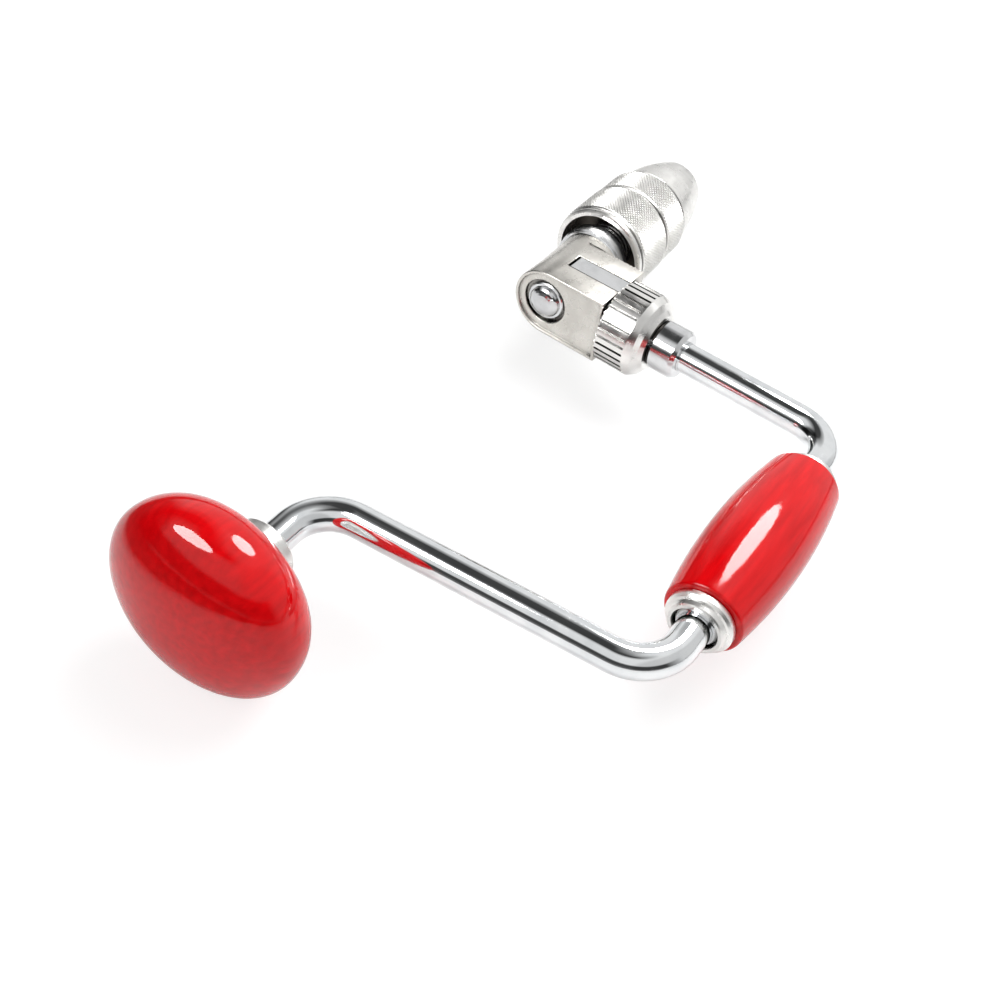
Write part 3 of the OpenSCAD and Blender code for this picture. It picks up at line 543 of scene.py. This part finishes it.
red = lacquered_wood()
# Each metal finish below paints shade into its seams and corners; the casting and the shell reach furthest, for the
# rim's shadow line and the groove corners
chrome = metal("polished_chrome_plate", "#eef0f1", "#dfe2e4", (0.045, 0.10), (7, 0.012), grit=(0.7, 0.0012))
nickel = metal("bright_satin_nickel_turned", "#eeedea", "#e1e0dd", (0.24, 0.36), (6, 0.006), lines=(0.16, 0.004))
shell_nickel = metal("bright_satin_nickel_on_the_shell", "#eeedea", "#e1e0dd", (0.24, 0.36), (6, 0.006),
                     lines=(0.16, 0.004), reach=2.4, seam=(0.4, 0.9), dark_r=HOLLOW_R)
ring_nickel = metal("bright_nickel_turned_on_the_arm", "#efeeeb", "#dedddb", (0.17, 0.28), (5, 0.006),
                    lines=(0.2, 0.004), axis=ARM_AXIS, seam=(0.4, 0.85))
casting = metal("vibro_polished_steel_casting", "#d9d6d0", "#c8c5bf", (0.24, 0.33), (3.5, 0.018), grit=(0.55, 0.012),
                reach=2.4, seam=(0.45, 0.88))
steel = metal("polished_steel", "#d9dadb", "#c6c7c8", (0.10, 0.20), (5, 0.006), lines=(0.25, 0.003))
screwed = metal("polished_steel_with_thread", "#d4d5d6", "#c0c1c2", (0.14, 0.24), (5, 0.006),
                thread=(THREAD_START, THREAD_END, THREAD_PITCH))
oxide = metal("black_oxide_spring_steel", "#34322f", "#272523", (0.30, 0.42), (2, 0.004))
arm_steel = metal("polished_steel_on_the_arm", "#e2e3e4", "#cfd0d1", (0.08, 0.16), (5, 0.006),
                  lines=(0.25, 0.003), axis=ARM_AXIS)
knurled = metal("bright_satin_nickel_knurled", "#eeedea", "#dfdeda", (0.28, 0.40), (2, 0.004), reach=0.4)
tool = metal("hardened_tool_steel", "#8b8d90", "#6f7174", (0.26, 0.40), (4, 0.006), grit=(0.35, 0.004))
spring = metal("drawn_spring_steel", "#a9abad", "#8d8f92", (0.18, 0.30), (1.5, 0.003))
bronze = metal("bearing_bronze", "#c08f52", "#a5733c", (0.28, 0.40), (3, 0.006), lines=(0.2, 0.004))

paint(red, "head_wood", "grip_wood")
paint(chrome, "bow_rod")
paint(nickel, "head_flange", "grip_ferrule_rear", "grip_ferrule_front")
paint(shell_nickel, "chuck_shell")
paint(knurled, "knurl_rear", "knurl_front")
paint(ring_nickel, "selector_ring")
paint(oxide, "split_ring")
paint(casting, "ratchet_box")
paint(screwed, "spindle")
paint(steel, "end_nut", "thrust_washer", "head_screws", "head_nut", "head_washer", "head_balls",
      "detent_ball", "grip_stop_rear", "grip_stop_front", "pawl_pin_top", "pawl_pin_bottom")
paint(arm_steel, "pawl_top", "pawl_bottom", "arm_collar")
paint(tool, "ratchet_wheel", "jaw_upper", "jaw_lower", "closing_ring")
paint(spring, "coil_pawl_top", "coil_pawl_bottom", "coil_detent", "coil_jaws")
paint(bronze, "front_bush")


# Floor, lamps, surroundings and camera


def pale_floor():
    """A plain white sheet under the object, which keeps its soft shadow."""
    low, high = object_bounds()
    bpy.ops.mesh.primitive_plane_add(size=6, location=((low.x + high.x) / 2, (low.y + high.y) / 2, low.z - 0.0004))
    floor = bpy.context.object
    floor.name = "floor"
    material = bpy.data.materials.new("matt_white_paper")
    material.use_nodes = True
    tree = material.node_tree
    tree.nodes.clear()
    seen = add(tree, "LightPath").outputs["Is Camera Ray"]
    place = add(tree, "TexCoord").outputs["Object"]
    from_middle = add(tree, "VectorMath", {0: place, 1: (0.281, -0.566, 0)}, operation="DISTANCE").outputs["Value"]
    tone = add(tree, "Mix", {"Factor": spread(tree, from_middle, 0.89, 0.96, 0, 1), 6: linear("#ececec"),
                             7: linear("#5a5a5a")}, data_type="RGBA")
    paper = add(tree, "BsdfDiffuse", {"Color": colour_of(tone)})
    dimmed = add(tree, "BsdfDiffuse", {"Color": linear("#a0a0a0")})
    out = add(tree, "VectorMath", {0: place}, operation="LENGTH").outputs["Value"]
    glow = add(tree, "Emission", {"Color": (1, 1, 1, 1), "Strength": spread(tree, out, 0.35, 0.8, 0.71, 1.0)})
    shown = add(tree, "AddShader", {0: dimmed.outputs[0], 1: glow.outputs[0]})
    mixed = add(tree, "MixShader", {0: seen, 1: paper.outputs[0], 2: shown.outputs[0]})
    add(tree, "OutputMaterial", {"Surface": mixed.outputs[0]})
    floor.data.materials.append(material)


def by_height(tree, height, steps):
    """Grey levels of one side of the room by the sine of the height above the horizon."""
    ramp = add(tree, "ValToRGB", {"Fac": height})
    levels = ramp.color_ramp
    for element, (at, level) in zip(levels.elements, (steps[0], steps[-1])):
        element.position, element.color = at, (level, level, level, 1)
    for at, level in steps[1:-1]:
        levels.elements.new(at).color = (level, level, level, 1)
    return ramp.outputs["Color"]


def surroundings():
    """A plain studio: white to the camera; a pale screen ahead, a dim room behind and overhead."""
    world = bpy.data.worlds.new("studio")
    bpy.context.scene.world = world
    world.use_nodes = True
    tree = world.node_tree
    tree.nodes.clear()
    seen = add(tree, "LightPath").outputs["Is Camera Ray"]
    view = add(tree, "TexCoord").outputs["Generated"]
    toward = add(tree, "SeparateXYZ", {"Vector": view})
    # The dark card over the screen ahead leans towards +Y
    lean = add(tree, "VectorMath", {0: view, 1: (0, 0.6, 0.8)}, operation="DOT_PRODUCT").outputs["Value"]
    ahead = by_height(tree, lean, ((0.0, 0.9), (0.70, 0.85), (0.76, 0.52), (0.82, 0.34), (0.87, 0.06), (1.0, 0.05)))
    behind = by_height(tree, toward.outputs["Z"], ((0.0, 0.3), (0.06, 0.06), (0.34, 0.06), (0.44, 0.8),
                                                   (0.86, 0.82), (0.91, 0.5), (0.94, 0.06), (1.0, 0.04)))
    side = spread(tree, toward.outputs["X"], -0.2, 0.2, 0, 1)
    both = add(tree, "Mix", {"Factor": side, 6: behind, 7: ahead}, data_type="RGBA")
    across = by_height(tree, spread(tree, toward.outputs["Y"], -1, 1, 0, 1),
                       ((0.0, 0.75), (0.2, 0.75), (0.27, 1.0), (0.86, 1.0), (0.92, 0.12), (1.0, 0.12)))
    lit = add(tree, "Mix", {"Factor": 1.0, 6: colour_of(both), 7: across}, data_type="RGBA", blend_type="MULTIPLY")
    room = add(tree, "Background", {"Color": colour_of(lit), "Strength": 1.0})
    white = add(tree, "Background", {"Color": (1, 1, 1, 1), "Strength": 1.0})
    mixed = add(tree, "MixShader", {0: seen, 1: room.outputs[0], 2: white.outputs[0]})
    add(tree, "OutputWorld", {"Surface": mixed.outputs[0]})


def lamp(name, place, aim, along, size, watts):
    """An oval soft box that faces a point, with its first size along a direction."""
    light = bpy.data.lights.new(name, "AREA")
    light.shape, light.size, light.size_y, light.energy = "ELLIPSE", size[0], size[1], watts
    obj = bpy.data.objects.new(name, light)
    bpy.context.scene.collection.objects.link(obj)
    back = (Vector(place) - Vector(aim)).normalized()
    across = (Vector(along) - back * back.dot(Vector(along))).normalized()
    turn = Matrix((across, back.cross(across), back)).transposed().to_4x4()
    obj.matrix_world = Matrix.Translation(place) @ turn
    obj.visible_camera = False
    return obj


def camera():
    """The photograph's view, found by fitting the solids to it."""
    right, down, ahead = Vector((0.5583, -0.8235, 0.1004)), Vector((-0.5609, -0.4638, -0.6857)), None
    right.normalize()
    down = (down - right * down.dot(right)).normalized()
    ahead = right.cross(-down) * -1
    data = bpy.data.cameras.new("camera")
    data.lens, data.sensor_width, data.clip_start = 48.49, 36.0, 0.01
    cam = bpy.data.objects.new("camera", data)
    bpy.context.scene.collection.objects.link(cam)
    turn = Matrix((right, -down, -ahead)).transposed().to_4x4()
    cam.matrix_world = Matrix.Translation((-0.48288, -0.19076, 0.32444)) @ turn
    bpy.context.scene.camera = cam


pale_floor()
surroundings()
shines = [lamp("box_ahead", (0.11, -0.11, 0.427), (-0.18, -0.125, 0.017), (0, 1, 0), (0.24, 0.26), 3.1),
          lamp("box_behind", (-0.43, 0.12, 0.29), (-0.27, -0.02, 0.02), (0, 1, 0), (0.27, 0.13), 1.75)]
washes = [lamp("wash_ahead", (0.05, -0.15, 0.5), (-0.18, -0.125, 0.017), (0, 1, 0), (0.5, 0.5), 3.0),
          lamp("wash_behind", (-0.62, 0.1, 0.35), (-0.3, 0, 0), (0, 1, 0), (0.4, 0.4), 0.9)]
for shine in shines:
    shine.visible_diffuse = False
for wash in washes:
    wash.visible_glossy = False
camera()

bpy.context.scene.view_settings.view_transform = "Standard"
